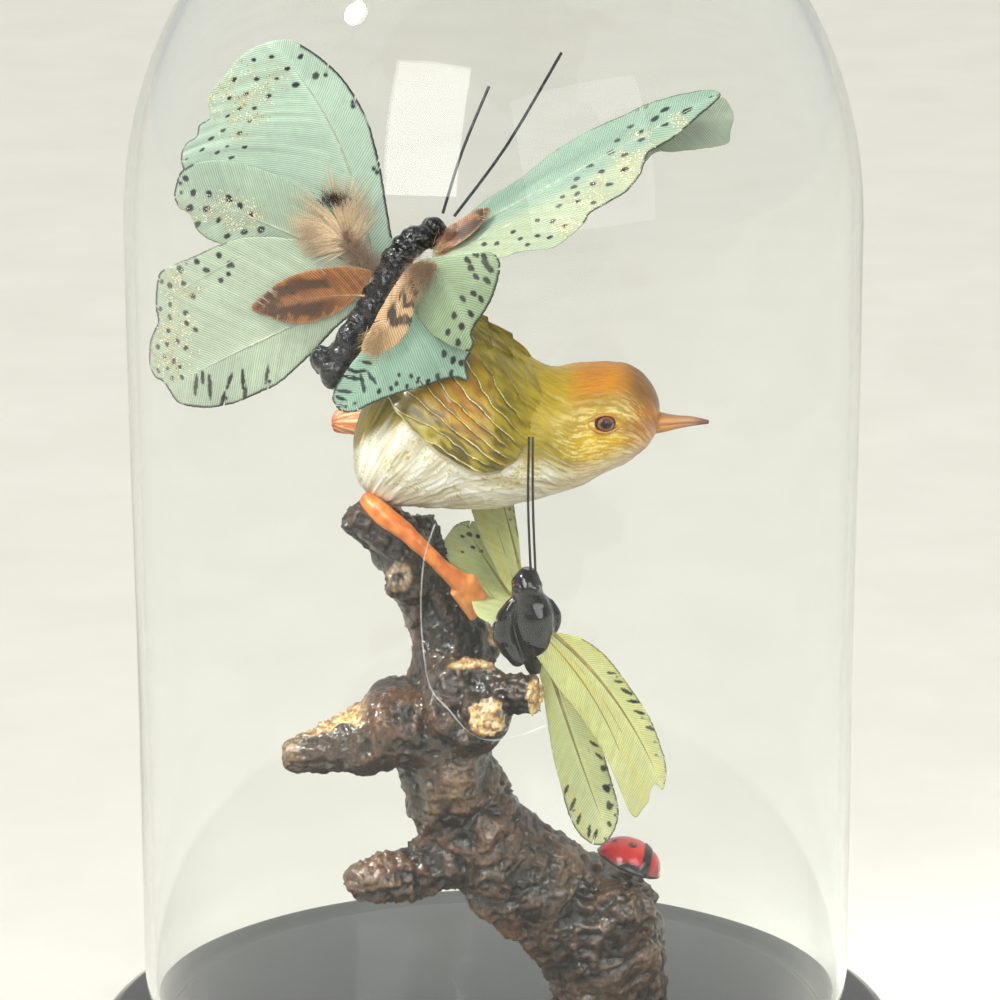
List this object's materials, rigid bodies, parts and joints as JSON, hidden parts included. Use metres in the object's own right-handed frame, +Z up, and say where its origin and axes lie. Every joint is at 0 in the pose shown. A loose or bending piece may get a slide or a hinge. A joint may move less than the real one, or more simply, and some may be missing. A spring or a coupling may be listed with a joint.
{
  "type": "bell jar dome",
  "caption": "Glass bell jar dome on a round black base, lifting off a cast branch that holds a bird, feather butterflies and a ladybird.",
  "frame": {"origin": "bottom centre of the base, on the surface it stands on", "axes": "+Z up along the axis of the glass and base, +X to the right of the front, +Y to the back"},
  "size_m": [0.195, 0.195, 0.3136],
  "materials": {
    "black_lacquer": "high gloss black lacquer",
    "felt_pad": "felt",
    "zinc_steel": "zinc plated",
    "clear_glass": "clear blown glass",
    "cast_bark": "cast resin, painted bark with a clear varnish",
    "ladybird_paint": "gloss painted",
    "bird_paint": "cast resin, hand painted, satin",
    "orange_paint": "cast resin, painted orange",
    "horn_paint": "painted, satin",
    "eye_gloss": "gloss bead",
    "black_gloss_paint": "gloss black",
    "black_wire": "thin black filament",
    "steel_wire": "plain wire",
    "clear_nylon": "clear monofilament",
    "green_feather": "dyed feather",
    "yellow_feather": "dyed feather",
    "brown_feather": "natural feather",
    "cream_feather": "natural feather"
  },
  "bodies": {
    "base": {"accent_dark_feather": "brown_feather", "accent_fan_feather": "cream_feather", "accent_leaf_feather": "brown_feather", "accent_spotted_feather": "cream_feather", "base_plinth": "black_lacquer", "bird_beak": "horn_paint", "bird_body": "bird_paint", "bird_eye_left": "eye_gloss", "bird_eye_right": "eye_gloss", "bird_leg_left": "orange_paint", "bird_leg_right": "orange_paint", "bird_tail": "orange_paint", "bird_wing_left": "bird_paint", "bird_wing_right": "bird_paint", "branch": "cast_bark", "branch_screw_1": "zinc_steel", "branch_screw_2": "zinc_steel", "foot_pad_1": "felt_pad", "foot_pad_2": "felt_pad", "foot_pad_3": "felt_pad", "foot_pad_4": "felt_pad", "green_antenna_1": "black_wire", "green_antenna_2": "black_wire", "green_butterfly_body": "black_gloss_paint", "green_butterfly_wire": "steel_wire", "green_left_fore_feather": "green_feather", "green_left_hind_feather": "green_feather", "green_left_mid_feather": "green_feather", "green_right_back_feather": "green_feather", "green_right_fore_feather": "green_feather", "green_right_hind_feather": "green_feather", "green_right_mid_feather": "green_feather", "ladybird": "ladybird_paint", "nylon_thread": "clear_nylon", "yellow_antenna_1": "black_wire", "yellow_antenna_2": "black_wire", "yellow_butterfly_body": "black_gloss_paint", "yellow_butterfly_wire": "steel_wire", "yellow_left_fore_feather": "yellow_feather", "yellow_left_hind_feather": "yellow_feather", "yellow_right_fore_feather": "yellow_feather", "yellow_right_hind_feather": "yellow_feather"},
    "dome": {"glass_dome": "clear_glass"}
  },
  "joints": [
    {"name": "dome_lift", "type": "slide", "parent": "base", "child": "dome", "axis": [0, 0, 1], "range_m": [0, 0.25]}
  ]
}
